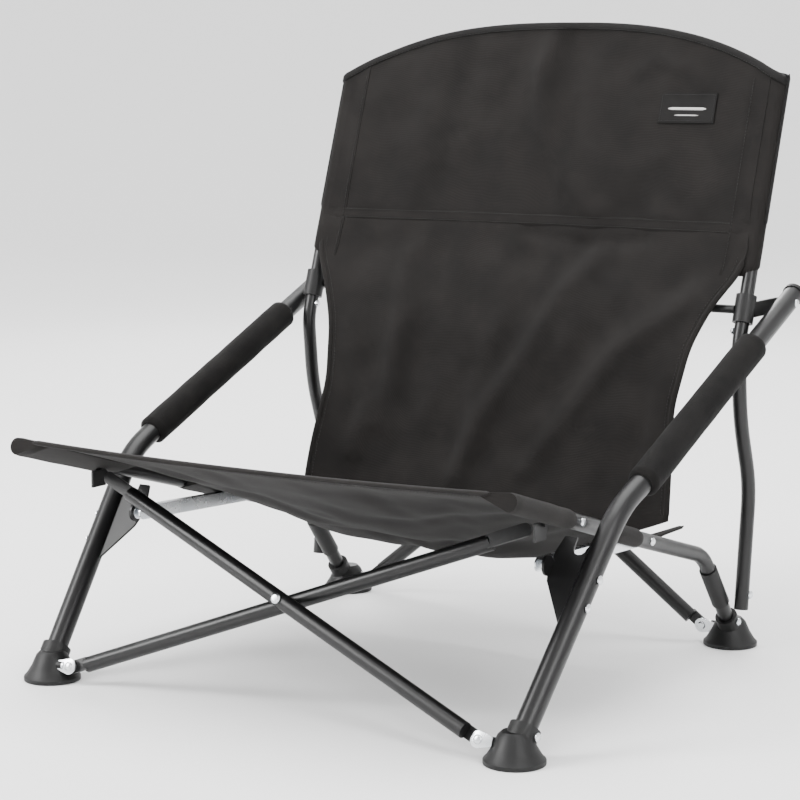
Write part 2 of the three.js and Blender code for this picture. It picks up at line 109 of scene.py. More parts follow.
BACK_LOW = 152
BACK_LOW_SAG = 48
BACK_CORNER = 607
BACK_ARCH = 60
ARCH_POWER = 2.7
SLEEVE_IN = 18  # inside this distance from the tube, the panel shows in front of the sleeve
SEAM_Z = 450
SLEEVE_LOW = 402
STITCH_IN = 29  # stitch line of a sleeve, in from its tube's centre
BACK_HALF = [
    (150, 230), (196, 227), (265, 219), (330, 228), (376, 247), (398, 263),
    (414, 271), (440, 268), (470, 265), (700, 265),
]
BACK_Y = [
    (60, 376), (110, 383), (156, 391), (196, 400), (265, 420), (330, 440),
    (376, 458), (402, 474), (420, 483), (450, 494), (605, 547), (670, 569),
]

SEAT_FRONT = -33
SEAT_REAR = 386
SEAT_LIFT = 6  # the panel above the rail's centre line
SEAT_SAG = [(-40, 4), (20, 8), (100, 20), (200, 34), (300, 42), (390, 44)]
TAB_FROM = 276  # behind this the seat widens to its rear corner
TAB_HALF = 250
TAB_Z = 150
SLEEVES = ((SEAT_FRONT, 100), (203, 268))  # stretches of rail that the seat is sewn round

# ---- materials ----


def material(name, color, roughness, metallic=0.0, coat=0.0, sheen=0.0, gloss=0.5):
    made = bpy.data.materials.new(name)
    made.use_nodes = True
    shader = made.node_tree.nodes["Principled BSDF"]
    shader.inputs["Base Color"].default_value = (*color, 1)
    shader.inputs["Roughness"].default_value = roughness
    shader.inputs["Metallic"].default_value = metallic
    shader.inputs["Specular IOR Level"].default_value = gloss
    shader.inputs["Coat Weight"].default_value = coat
    shader.inputs["Coat Roughness"].default_value = 0.25
    shader.inputs["Sheen Weight"].default_value = sheen
    shader.inputs["Sheen Roughness"].default_value = 0.45
    return made, shader


def node(made, kind, **values):
    new = made.node_tree.nodes.new(kind)
    for key, value in values.items():
        if key in new.inputs:
            new.inputs[key].default_value = value
        else:
            setattr(new, key, value)
    return new


def link(made, out, into):
    made.node_tree.links.new(out, into)


def noise_of(made, scale, detail=3.0):
    place = node(made, "ShaderNodeTexCoord")
    texture = node(made, "ShaderNodeTexNoise", Scale=scale, Detail=detail)
    link(made, place.outputs["Object"], texture.inputs["Vector"])
    return texture


def vary_color(made, shader, dark, light, scale):
    """The base colour drifts between two close colours, as wear and handling leave it."""
    texture = noise_of(made, scale)
    ramp = node(made, "ShaderNodeValToRGB")
    ramp.color_ramp.elements[0].position = 0.35
    ramp.color_ramp.elements[1].position = 0.68
    ramp.color_ramp.elements[0].color = (*dark, 1)
    ramp.color_ramp.elements[1].color = (*light, 1)
    link(made, texture.outputs["Fac"], ramp.inputs["Fac"])
    link(made, ramp.outputs["Color"], shader.inputs["Base Color"])


def vary_roughness(made, shader, low, high, scale):
    texture = noise_of(made, scale)
    spread = node(made, "ShaderNodeMapRange")
    spread.inputs["To Min"].default_value = low
    spread.inputs["To Max"].default_value = high
    link(made, texture.outputs["Fac"], spread.inputs["Value"])
    link(made, spread.outputs["Result"], shader.inputs["Roughness"])


def bumps(made, shader, height, strength, distance):
    bump = node(made, "ShaderNodeBump", Strength=strength, Distance=distance)
    link(made, height, bump.inputs["Height"])
    link(made, bump.outputs["Normal"], shader.inputs["Normal"])


def powder_coat():
    made, shader = material("powder_coat", (0.0035, 0.0034, 0.0036), 0.36, coat=0.06, gloss=0.34)
    vary_roughness(made, shader, 0.31, 0.42, 60)
    bumps(made, shader, noise_of(made, 900).outputs["Fac"], 0.12, 0.0002)
    return made


def zinc():
    made, shader = material("bright_zinc", (0.72, 0.74, 0.76), 0.28, metallic=1.0)
    vary_color(made, shader, (0.68, 0.71, 0.74), (0.78, 0.79, 0.80), 25)
    vary_roughness(made, shader, 0.22, 0.32, 30)
    return made


def nylon():
    made, shader = material("black_nylon", (0.0045, 0.0045, 0.0045), 0.5, gloss=0.3)
    vary_roughness(made, shader, 0.42, 0.56, 80)
    bumps(made, shader, noise_of(made, 500).outputs["Fac"], 0.15, 0.0003)
    return made


def foam():
    made, shader = material("closed_cell_foam", (0.0055, 0.005, 0.005), 0.92, sheen=0.02, gloss=0.12)
    vary_color(made, shader, (0.0042, 0.0039, 0.0038), (0.0075, 0.007, 0.0066), 40)
    place = node(made, "ShaderNodeTexCoord")
    cells = node(made, "ShaderNodeTexVoronoi", Scale=650.0)
    link(made, place.outputs["Object"], cells.inputs["Vector"])
    bumps(made, shader, cells.outputs["Distance"], 0.35, 0.0006)
    return made


def canvas():
    """Plain weave: two crossed sets of threads, with faint uneven dyeing."""
    made, shader = material("woven_canvas", (0.0065, 0.0057, 0.0052), 0.84, sheen=0.035, gloss=0.14)
    vary_color(made, shader, (0.0052, 0.0045, 0.0041), (0.0085, 0.0074, 0.0068), 26)
    place = node(made, "ShaderNodeTexCoord")
    warp = node(made, "ShaderNodeTexWave", bands_direction="X", Scale=340.0, Distortion=1.2)
    weft = node(made, "ShaderNodeTexWave", bands_direction="Z", Scale=340.0, Distortion=1.2)
    depth = node(made, "ShaderNodeTexWave", bands_direction="Y", Scale=340.0, Distortion=1.2)
    for threads in (warp, weft, depth):
        link(made, place.outputs["Object"], threads.inputs["Vector"])
    pair = node(made, "ShaderNodeMath", operation="ADD")
    link(made, warp.outputs["Fac"], pair.inputs[0])
    link(made, weft.outputs["Fac"], pair.inputs[1])
    weave = node(made, "ShaderNodeMath", operation="ADD")
    link(made, pair.outputs["Value"], weave.inputs[0])
    link(made, depth.outputs["Fac"], weave.inputs[1])
    bumps(made, shader, weave.outputs["Value"], 0.22, 0.0003)
    return made


def tape():
    made, shader = material("binding_tape", (0.0045, 0.0041, 0.0039), 0.75, sheen=0.02, gloss=0.16)
    place = node(made, "ShaderNodeTexCoord")
    ribs = node(made, "ShaderNodeTexWave", bands_direction="DIAGONAL", Scale=300.0)
    link(made, place.outputs["Object"], ribs.inputs["Vector"])
    bumps(made, shader, ribs.outputs["Fac"], 0.3, 0.0003)
    return made


def thread(name, color):
    made, shader = material(name, color, 0.6, sheen=0.03, gloss=0.25)
    vary_roughness(made, shader, 0.5, 0.7, 900)
    return made


POWDER, ZINC, NYLON, FOAM = powder_coat(), zinc(), nylon(), foam()
CANVAS, TAPE = canvas(), tape()
THREAD = thread("black_thread", (0.008, 0.0074, 0.007))
PALE_THREAD = thread("pale_thread", (0.42, 0.41, 0.40))

SLOT_MATERIALS = {
    "black_frame": POWDER,
    "zinc_steel": ZINC,
    "black_plastic": NYLON,
    "black_foam": FOAM,
    "black_fabric": CANVAS,
    "label_cloth": TAPE,
}
SLOTS = {s["node"]: s["material_slot"] for s in RECORD["subparts"]}
for name, cad in NODES.items():
    cad.data.materials.clear()
    cad.data.materials.append(SLOT_MATERIALS[SLOTS[name]])
    if "custom_normal" in cad.data.attributes:
        cad.data.attributes.remove(cad.data.attributes["custom_normal"])
    cad.data.shade_smooth()
    weld = cad.modifiers.new("weld", "WELD")
    weld.merge_threshold = 0.02 * MM
    crisp = cad.modifiers.new("crisp_edges", "EDGE_SPLIT")
    crisp.split_angle = math.radians(32)

# ---- mesh helpers ----


def piece(name, verts, faces, finish, body, slot, angle=40):
    mesh = bpy.data.meshes.new(name)
    mesh.from_pydata([tuple(v) for v in verts], [], faces)
    mesh.validate()
    mesh.materials.append(finish)
    mesh.shade_smooth()
    mesh.set_sharp_from_angle(angle=math.radians(angle))
    made = bpy.data.objects.new(name, mesh)
    bpy.context.scene.collection.objects.link(made)
    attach(made, body)
    return made


def sheet_mesh(rows, thickness):
    """A closed thin solid round a grid of middle points."""
    count, width = len(rows), len(rows[0])
    faces_out, back = [], []
    for i in range(count):
        for j in range(width):
            up = rows[min(i + 1, count - 1)][j] - rows[max(i - 1, 0)][j]
            across = rows[i][min(j + 1, width - 1)] - rows[i][max(j - 1, 0)]
            normal = across.cross(up).normalized() * (thickness / 2)
            faces_out.append(rows[i][j] + normal)
            back.append(rows[i][j] - normal)
    verts = faces_out + back
    shift = count * width
    faces = []
    for i in range(count - 1):
        for j in range(width - 1):
            a, b, c, d = i * width + j, i * width + j + 1, (i + 1) * width + j + 1, (i + 1) * width + j
            faces.append((a, b, c, d))
            faces.append((d + shift, c + shift, b + shift, a + shift))
    rim = list(range(width))
    rim += [i * width + width - 1 for i in range(1, count)]
    rim += [(count - 1) * width + j for j in range(width - 2, -1, -1)]
    rim += [i * width for i in range(count - 2, 0, -1)]
    for a, b in zip(rim, rim[1:] + rim[:1]):
        faces.append((b, a, a + shift, b + shift))
    return verts, faces


def loft(sections):
    """A closed solid through closed sections with equal counts."""
    width = len(sections[0])
    verts = [p for section in sections for p in section]
    faces = []
    for i in range(len(sections) - 1):
        for j in range(width):
            k = (j + 1) % width
            faces.append((i * width + j, i * width + k, (i + 1) * width + k, (i + 1) * width + j))
    last = (len(sections) - 1) * width
    faces.append(tuple(reversed(range(width))))
    faces.append(tuple(last + j for j in range(width)))
    return verts, faces


def frames(path, lead):
    """For each point of a path: (point, side, up) with up close to lead."""
    made = []
    for i, point in enumerate(path):
        heading = (path[min(i + 1, len(path) - 1)] - path[max(i - 1, 0)]).normalized()
        side = heading.cross(lead).normalized()
        made.append((point, side, side.cross(heading).normalized()))
    return made


def sweep(path, lead, half_width, half_height, count=12):
    """A strip with an oval section along a path."""
    sections = []
    last = len(path) - 1
    for i, (point, side, up) in enumerate(frames(path, lead)):
        end = 0.35 if i in (0, last) else 1.0
        ring = []
        for k in range(count):
            turn = 2 * math.pi * k / count
            across = side * (math.cos(turn) * half_width * end)
            ring.append(point + across + up * (math.sin(turn) * half_height * end))
        sections.append(ring)
    return loft(sections)


def resample(path, step):
    """Points at equal steps along a path."""
    made, carry = [path[0]], 0.0
    for a, b in zip(path, path[1:]):
        length = (b - a).length
        reach = step - carry
        while reach <= length:
            made.append(a.lerp(b, reach / length))
            reach += step
        carry = (carry + length) % step
    return made


def stitches(name, path, lead, body, pitch=3.6, run=2.3, thick=0.42, finish=THREAD):
    """A row of thread stitches as one mesh, lying on the cloth along a path."""
    verts, faces = [], []
    for point, side, up in frames(resample(path, pitch * MM), lead):
        ahead = up.cross(side)
        start = len(verts)
        half, r = run / 2 * MM, thick * MM
        for share, size in ((-1, 0.45), (-0.45, 1), (0.45, 1), (1, 0.45)):
            for k in range(6):
                turn = math.pi * k / 3
                ring = side * math.cos(turn) * r * size + up * math.sin(turn) * r * size
                verts.append(point + ahead * half * share + ring)
        for ring in range(3):
            for k in range(6):
                n = (k + 1) % 6
                low = start + ring * 6
                faces.append((low + k, low + n, low + 6 + n, low + 6 + k))
        faces.append(tuple(start + 5 - k for k in range(6)))
        faces.append(tuple(start + 18 + k for k in range(6)))
    return piece(name, verts, faces, finish, body, "black_fabric", angle=80)


# ---- back panel ----
# Each crease: points (x, z) on the back, width, height towards the front, in millimetres.
BACK_CREASES = [
    ([(2, 666), (-16, 615), (-1, 549), (33, 495), (76, 462)], 13, 4.5),
    ([(36, 640), (22, 590), (40, 540)], 26, -4.0),
    ([(-107, 654), (-123, 558), (-122, 500)], 20, -2.6),
    ([(95, 415), (61, 379), (27, 313), (-12, 247), (-35, 176)], 15, 6.5),
    ([(70, 420), (30, 360), (0, 300)], 24, -4.0),
    ([(218, 376), (146, 326), (88, 244), (48, 188)], 15, 5.5),
    ([(200, 390), (128, 350), (66, 262)], 22, -4.0),
    ([(-147, 405), (-136, 336), (-140, 270), (-150, 225)], 16, 5.5),
    ([(-112, 400), (-104, 330), (-112, 250)], 22, -4.5),
    ([(-22, 417), (-13, 354), (-28, 267), (-28, 202)], 17, 3.5),
    ([(-6, 437), (71, 425), (143, 434)], 9, -3.5),
    ([(236, 347), (203, 273), (202, 202)], 13, 4.5),
    ([(-205, 321), (-163, 246), (-173, 190)], 14, 4.5),
    ([(109, 615), (127, 626), (170, 615), (184, 594)], 9, 2.2),
    ([(150, 520), (172, 490), (160, 462)], 14, 2.4),
]


def to_segment(x, z, a, b):
    ax, az = b[0] - a[0], b[1] - a[1]
    share = ((x - a[0]) * ax + (z - a[1]) * az) / (ax * ax + az * az)
    share = min(1.0, max(0.0, share))
    return math.hypot(x - a[0] - ax * share, z - a[1] - az * share)


def creases(x, z, rows):
    total = 0.0
    for points, width, height in rows:
        near = min(to_segment(x, z, a, b) for a, b in zip(points, points[1:]))
        if near < 3 * width:
            total += height * math.exp(-((near / width) ** 2))
    return total


def back_top(x):
    return BACK_CORNER + BACK_ARCH * (1 - min(1.0, abs(x) / 281) ** ARCH_POWER)


def back_depth(x, z):
    """Millimetres back from the front feet of the back fabric's middle layer."""
    half = eased(BACK_HALF, z)
    share = min(1.0, abs(x) / half)
    slack = smooth((1 - share) / 0.22)
    hollow = 15 * (1 - share * share) * (1 - 0.5 * smooth((z - SEAM_Z) / 80))
    hollow *= smooth((z - 90) / 120)
    rumple = 5.5 * noise.noise(Vector((x / 75, z / 120, 0.4)))
    rumple += 2.2 * noise.noise(Vector((x / 32, z / 44, 5.1)))
    seam = 1.6 * math.exp(-(((z - SEAM_Z) / 7) ** 2))
    return eased(BACK_Y, z) + hollow - (creases(x, z, BACK_CREASES) + rumple) * slack + seam


def on_back(x, z, proud=0.0):
    """A point on the back fabric, proud millimetres in front of its middle layer."""
    lean = POST_LEAN
    tilt = 1 / math.hypot(1, lean)
    return at(x, back_depth(x, z) - proud * tilt, z + proud * lean * tilt)


BACK_COLUMNS = 132
BACK_ROWS = 148


def back_grid():
    rows = []
    for i in range(BACK_ROWS + 1):
        v = i / BACK_ROWS
        row = []
        for j in range(BACK_COLUMNS + 1):
            u = 2 * j / BACK_COLUMNS - 1
            edge = BACK_LOW + (BACK_CORNER - BACK_LOW) * v
            x = u * eased(BACK_HALF, edge)
            low = BACK_LOW - BACK_LOW_SAG * (1 - u * u)
            z = low + (back_top(x) - low) * v
            row.append(on_back(x, z))
        rows.append(row)
    return rows


FRONT_FACING = Vector((0, -1, 0.34)).normalized()


def fold_back(made):
    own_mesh(made)
    return made


def fold_seat(made):
    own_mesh(made)
    return made


def cut_of(rows):
    """(width, length) of the rectangle that a grid is cut from: its longest row and column."""
    columns = list(zip(*rows))

    def longest(lines):
        return max(sum((b - a).length for a, b in zip(line, line[1:])) for line in lines)

    return longest(rows), longest(columns)


BACK_GRID = back_grid()
back = piece("back_fabric", *sheet_mesh(BACK_GRID, CLOTH * MM), CANVAS, "post_R", "black_fabric")
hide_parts("back_panel")


def post_y(z):
    return COLLAR[0] + (z - COLLAR[1]) * POST_LEAN


def path_on_back(points, proud, step=6):
    """A path of (x, z) corners laid on the fabric."""
    made = []
    for (x0, z0), (x1, z1) in zip(points, points[1:]):
        count = max(1, round(math.hypot(x1 - x0, z1 - z0) / step))
        for k in range(count):
            made.append(on_back(x0 + (x1 - x0) * k / count, z0 + (z1 - z0) * k / count, proud))
    made.append(on_back(*points[-1], proud))
    return made


SLEEVE_R = POST_R + 1.6
ARCH_HALF = POST_X + SLEEVE_R - 0.6


def on_front(x, z, proud):
    """A point on the fabric, or on the front of the sleeve round the upright beyond it."""
    if abs(x) < POST_X - SLEEVE_IN:
        return on_back(x, z, proud)
    beyond = max(0.0, abs(x) - POST_X)
    front = math.sqrt(max(0.0, SLEEVE_R ** 2 - beyond ** 2))
    return at(x, post_y(z) - front - proud, z)


def arch_path(inset, proud, half=ARCH_HALF):
    xs = [half * math.sin(math.pi / 2 * (k / 40 - 1)) for k in range(81)]
    return [on_front(x, back_top(x) - inset, proud) for x in xs]


back_bits = []
back_bits.append(piece(
    "back_top_tape",
    *sweep(arch_path(3.6, 0.6), FRONT_FACING, 4.4 * MM, 2.0 * MM),
    TAPE, "post_R", "black_fabric",
))
back_bits.append(stitches(
    "back_top_stitches", arch_path(7.0, 2.2, POST_X - 6), FRONT_FACING, "post_R"
))
SEAM_ENDS = (-244, 244)
for tag, rise in (("low", -4.5), ("high", 4.5)):
    run = path_on_back([(SEAM_ENDS[0], SEAM_Z + rise), (SEAM_ENDS[1], SEAM_Z + rise)], 2.4)
    back_bits.append(stitches(f"back_seam_stitches_{tag}", run, FRONT_FACING, "post_R"))
back_bits.append(piece(
    "back_seam_fold",
    *sweep(
        path_on_back([(SEAM_ENDS[0] - 16, SEAM_Z), (SEAM_ENDS[1] + 16, SEAM_Z)], 0.9),
        FRONT_FACING, 7.5 * MM, 1.3 * MM,
    ),
    CANVAS, "post_R", "black_fabric",
))

# The free side edges between the sleeves and the seat have a turned hem.
for side, tag in SIDES:
    edge = []
    for k in range(46):
        z = BACK_LOW + (SLEEVE_LOW + 18 - BACK_LOW) * k / 45
        edge.append(on_back(side * (eased(BACK_HALF, z) - 2.5), z, 0.1))
    back_bits.append(piece(
        f"back_side_hem_{tag}",
        *sweep(edge, FRONT_FACING, 3.4 * MM, 1.7 * MM),
        CANVAS, "post_R", "black_fabric",
    ))
    inner = []
    for k in range(46):
        z = BACK_LOW + 6 + (SLEEVE_LOW + 14 - BACK_LOW) * k / 45
        inner.append(on_back(side * (eased(BACK_HALF, z) - 9), z, 1.1))
    back_bits.append(stitches(f"back_hem_stitches_{tag}", inner, FRONT_FACING, "post_R"))

# ---- sleeves round the uprights ----


def drop_section(middle, tip_up, tip_low, out, up, radius, count=22):
    """A tube's round section drawn out to a flat seam: from tip_up round the tube to tip_low."""
    ring = [tip_up]
    for k in range(count + 1):
        turn = math.pi / 2 - math.pi * k / count
        ring.append(middle + out * (math.cos(turn) * radius) + up * (math.sin(turn) * radius))
    ring.append(tip_low)
    return ring


def back_sleeve(side, tag):
    """The cloth round an upright: a round tunnel that thins to a flat seam further in."""
    sections = []
    count, turns = 46, 24
    for k in range(count + 1):
        share = k / count
        end = min(1.0, (k + 0.6) / 2.4)
        radius = SLEEVE_R + 0.5 * noise.noise(Vector((side, 7 * share, 3)))
        ring = []
        for j in range(turns + 3):
            tip = j in (0, turns + 2)
            turn = math.pi * (0.5 - (j - 1) / turns)
            x = POST_X - STITCH_IN if tip else POST_X + math.cos(turn) * radius * end
            z = SLEEVE_LOW + (back_top(x) - 1.5 - SLEEVE_LOW) * share
            if tip:
                ring.append(on_back(side * x, z, 1.5 if j == 0 else -1.5))
            else:
                ring.append(at(side * x, post_y(z) - math.sin(turn) * radius * (0.6 + 0.4 * end), z))
        if side > 0:
            ring.reverse()
        sections.append(ring)
    made = piece(
        f"back_post_sleeve_{tag}", *loft(sections), CANVAS, f"post_{tag}", "black_fabric", angle=60
    )
    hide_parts(f"back_sleeve_{tag}")
    run = []
    for k in range(60):
        z = SLEEVE_LOW + 6 + (BACK_CORNER - 6 - SLEEVE_LOW) * k / 59
        run.append(on_back(side * (POST_X - STITCH_IN + 2.6), z, 2.5))
    stitches(f"back_sleeve_stitches_{tag}", run, FRONT_FACING, f"post_{tag}")
    # Tape that closes the outer edge of the upper back, beside the upright.
    edge = []
    for k in range(40):
        z = SEAM_Z + 4 + (BACK_CORNER - SEAM_Z) * k / 39
        edge.append(at(side * (POST_X + POST_R + 1.3), post_y(z) - 1, z))
    piece(
        f"back_side_tape_{tag}",
        *sweep(edge, FRONT_FACING, 1.3 * MM, 3.6 * MM),
        TAPE, f"post_{tag}", "black_fabric",
    )


for side, tag in SIDES:
    back_sleeve(side, tag)

# ---- woven patch, left without any text ----
PATCH_X, PATCH_Z = 172, 574
PATCH_HALF = (33, 16)


def patch():
    rows = []
    for i in range(9):
        z = PATCH_Z + PATCH_HALF[1] * (i / 4 - 1)
        row = []
        for j in range(17):
            row.append(on_back(PATCH_X + PATCH_HALF[0] * (j / 8 - 1), z, 2.0))
        rows.append(row)
    made = piece("plain_patch", *sheet_mesh(rows, 1.1 * MM), TAPE, "post_R", "label_cloth")
    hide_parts("label_patch")
    border = [
        (PATCH_X + sx * (PATCH_HALF[0] - 2), PATCH_Z + sz * (PATCH_HALF[1] - 2))
        for sx, sz in ((-1, -1), (1, -1), (1, 1), (-1, 1), (-1, -1))
    ]
    edge = stitches("patch_stitches", path_on_back(border, 2.9, 4), FRONT_FACING, "post_R",
                    pitch=2.6, run=1.7, thick=0.32)
    bars = []
    for tag, z, reach, thick in (("wide", PATCH_Z - 1, 22, 1.5), ("thin", PATCH_Z - 8, 14, 0.7)):
        run = path_on_back([(PATCH_X - reach, z), (PATCH_X + reach, z)], 2.7, 4)
        bars.append(piece(
            f"patch_bar_{tag}", *sweep(run, FRONT_FACING, thick * MM, 0.5 * MM),
            PALE_THREAD, "post_R", "label_cloth",
        ))
    return [made, edge, *bars], rows


PATCH_PIECES, PATCH_GRID = patch()
back_bits += PATCH_PIECES

# ---- seat panel ----
SEAT_CREASES = [
    ([(-170, 60), (-60, 190), (-10, 330)], 20, 3.5),
    ([(170, 60), (80, 200), (20, 330)], 20, 3.5),
    ([(-220, 210), (-120, 250), (0, 260)], 16, 3.0),
    ([(220, 210), (120, 250), (0, 260)], 16, 3.0),
    ([(-225, 110), (-140, 130), (-40, 150)], 18, 2.5),
    ([(225, 110), (140, 130), (40, 150)], 18, 2.5),
    ([(-80, -20), (-70, 60), (-90, 120)], 16, 1.8),
    ([(110, -20), (90, 70), (96, 140)], 16, 1.8),
]


def rail_at(y):
    """(x, z) of the rail's centre line, kept straight past its bend."""
    share = (RAIL_KNEE[1] - y) / (RAIL_KNEE[1] - RAIL_TIP[1])
    x = RAIL_KNEE[0] + (RAIL_TIP[0] - RAIL_KNEE[0]) * max(0.0, share)
    return x, RAIL_KNEE[2] + (RAIL_TIP[2] - RAIL_KNEE[2]) * share


def seat_half(y):
    x, _ = rail_at(y)
    inner = x - 19 - 9 * math.exp(-(((y - 152) / 40) ** 4))
    return inner + (TAB_HALF - inner) * smooth((y - TAB_FROM) / 26)


def seat_edge_z(y):
    _, z = rail_at(y)
    straight = z + SEAT_LIFT
    return straight + (TAB_Z - straight) * smooth((y - 250) / 100)


def seat_height(x, y):
    share = min(1.0, abs(x) / seat_half(y))
    slack = smooth((1 - share) / 0.2)
    rumple = 3.5 * noise.noise(Vector((x / 90, y / 80, 2.2)))
    rumple += 1.4 * noise.noise(Vector((x / 34, y / 40, 7.7)))
    sag = eased(SEAT_SAG, y) * (1 - share ** 2.2)
    fold = creases(x, y, SEAT_CREASES) + rumple
    return seat_edge_z(y) - sag + fold * slack * smooth((y - SEAT_FRONT) / 60)


def on_seat(x, y, proud=0.0):
    return at(x, y, seat_height(x, y) + proud)


SEAT_COLUMNS = 124
SEAT_ROWS = 96


def seat_grid():
    rows = []
    for i in range(SEAT_ROWS + 1):
        y = SEAT_FRONT + (SEAT_REAR - SEAT_FRONT) * i / SEAT_ROWS
        half = seat_half(y)
        rows.append([on_seat(half * (2 * j / SEAT_COLUMNS - 1), y) for j in range(SEAT_COLUMNS + 1)])
    return rows


UP = Vector((0, 0, 1))
SEAT_GRID = seat_grid()
seat = piece("seat_fabric", *sheet_mesh(SEAT_GRID, CLOTH * MM), CANVAS, "side_R", "black_fabric")
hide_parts("seat_panel")
seat_bits = []


def path_on_seat(points, proud, step=6):
    made = []
    for (x0, y0), (x1, y1) in zip(points, points[1:]):
        count = max(1, round(math.hypot(x1 - x0, y1 - y0) / step))
        for k in range(count):
            made.append(on_seat(x0 + (x1 - x0) * k / count, y0 + (y1 - y0) * k / count, proud))
    made.append(on_seat(*points[-1], proud))
    return made


hem_half = seat_half(SEAT_FRONT)
hem = [(-hem_half, SEAT_FRONT + 2), (hem_half, SEAT_FRONT + 2)]
seat_bits.append(piece(
    "seat_front_hem", *sweep(path_on_seat(hem, 0), UP, 5.0 * MM, 2.3 * MM),
    CANVAS, "side_R", "black_fabric",
))
for tag, proud in (("top", 1.1), ("under", -1.1)):
    run = path_on_seat([(-hem_half, SEAT_FRONT + 17), (hem_half, SEAT_FRONT + 17)], proud)
    seat_bits.append(stitches(f"seat_front_stitches_{tag}", run, UP, "side_R"))
rear_half = seat_half(SEAT_REAR)
hem = [(-rear_half, SEAT_REAR - 2), (rear_half, SEAT_REAR - 2)]
seat_bits.append(piece(
    "seat_rear_hem", *sweep(path_on_seat(hem, 0), UP, 4.0 * MM, 1.9 * MM),
    CANVAS, "side_R", "black_fabric",
))
for side, tag in SIDES:
    for place, low, high in (("gap", SLEEVES[0][1] - 4, SLEEVES[1][0] + 4), ("tab", 262, SEAT_REAR)):
        count = max(2, round((high - low) / 5))
        ys = [low + (high - low) * k / count for k in range(count + 1)]
        edge = [on_seat(side * (seat_half(y) - 1.8), y) for y in ys]
        seat_bits.append(piece(
            f"seat_{place}_hem_{tag}", *sweep(edge, UP, 3.2 * MM, 1.8 * MM),
            CANVAS, "side_R", "black_fabric",
        ))


def seat_sleeve(side, tag, name, low, high, node_name):
    sections = []
    count = max(6, round((high - low) / 6))
    lead = at(*RAIL_KNEE) - at(*RAIL_TIP)
    up = (UP - lead * (UP.dot(lead) / lead.length_squared)).normalized()
    for k in range(count + 1):
        y = low + (high - low) * k / count
        x, z = rail_at(y)
        end = min(1.0, (k + 0.5) / 1.6, (count - k + 0.5) / 1.6)
        radius = (RAIL_R + 1.5 + 0.4 * noise.noise(Vector((side * 2, y / 30, 1)))) * MM
        middle = at(side * x, y, z)
        tip_x = side * (x - 34)
        ring = drop_section(
            middle, on_seat(tip_x, y, 1.3), on_seat(tip_x, y, -1.5), Vector((side, 0, 0)), up, radius
        )
        if end < 1.0:
            ring = [middle.lerp(p, 0.86 + 0.14 * end) for p in ring]
        if side < 0:
            ring.reverse()
        sections.append(ring)
    made = piece(name, *loft(sections), CANVAS, f"side_{tag}", "black_fabric", angle=60)
    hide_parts(node_name)
    for face, proud in (("top", 2.2), ("under", -2.4)):
        run = []
        for k in range(40):
            y = low + 5 + (high - low - 10) * k / 39
            run.append(on_seat(side * (rail_at(y)[0] - 31), y, proud))
        stitches(f"{name}_stitches_{face}", run, UP, f"side_{tag}")


for side, tag in SIDES:
    for place, (low, high) in zip(("front", "rear"), SLEEVES):
        seat_sleeve(
            side, tag, f"seat_rail_sleeve_{place}_{tag}", low, high, f"seat_sleeve_{place}_{tag}"
        )

# ---- foam grips ----
ARM_START = (296.5, 205, 230.8)
ARM_END = (296.5, 545, 378)
GRIP = (196, 446)  # y of its two ends
GRIP_R = 15.8


def grip(side, tag):
    slope = (ARM_END[2] - ARM_START[2]) / (ARM_END[1] - ARM_START[1])
    ends = [at(side * ARM_START[0], y, ARM_START[2] + slope * (y - ARM_START[1])) for y in GRIP]
    heading = (ends[1] - ends[0]).normalized()
    side_way = Vector((1, 0, 0))
    over = heading.cross(side_way).normalized()
    sections = []
    count = 64
    length = (ends[1] - ends[0]).length
    for k in range(count + 1):
        share = k / count
        gap = min(share, 1 - share) * length / MM
        rounding = 3.6 - math.sqrt(max(0.0, 3.6 ** 2 - (3.6 - min(gap, 3.6)) ** 2))
        ring = []
        for j in range(40):
            turn = 2 * math.pi * j / 40
            soft = noise.noise(Vector((side * 3 + math.cos(turn), math.sin(turn), share * 9)))
            radius = (GRIP_R - rounding + 0.45 * soft) * MM
            ring.append(
                ends[0] + heading * (length * share)
                + side_way * (math.cos(turn) * radius) + over * (math.sin(turn) * radius)
            )
        ring.reverse()
        sections.append(ring)
    made = piece(f"foam_sleeve_{tag}", *loft(sections), FOAM, f"leg_{tag}", "black_foam", angle=55)
    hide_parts(f"foam_grip_{tag}")


for side, tag in SIDES:
    grip(side, tag)

# ---- rivets at the armrest ends, too small for the frame's node budget ----


def dome(name, place, heading, radius, height, body):
    heading = heading.normalized()
    across = heading.orthogonal().normalized()
    up = heading.cross(across)
    verts, faces, count = [], [], 24
    rings = [(1.0, 0.0), (1.0, 0.35), (0.86, 0.7), (0.55, 0.93), (0.2, 1.0)]
    for size, rise in rings:
        for k in range(count):
            turn = 2 * math.pi * k / count
            spoke = across * math.cos(turn) + up * math.sin(turn)
            verts.append(place + heading * (height * rise) + spoke * (radius * size))
    for i in range(len(rings) - 1):
        for k in range(count):
            n = (k + 1) % count
            faces.append((i * count + k, i * count + n, (i + 1) * count + n, (i + 1) * count + k))
    faces.append(tuple(reversed(range(count))))
    faces.append(tuple((len(rings) - 1) * count + k for k in range(count)))
    return piece(name, verts, faces, ZINC, body, "zinc_steel", angle=50)


FRONT_HINGE, FRONT_TOP = (241.5, -7, 18), (243, 65, 200)
REAR_HINGE, REAR_TOP = (217.5, 509, 18), (230, 475, 368)


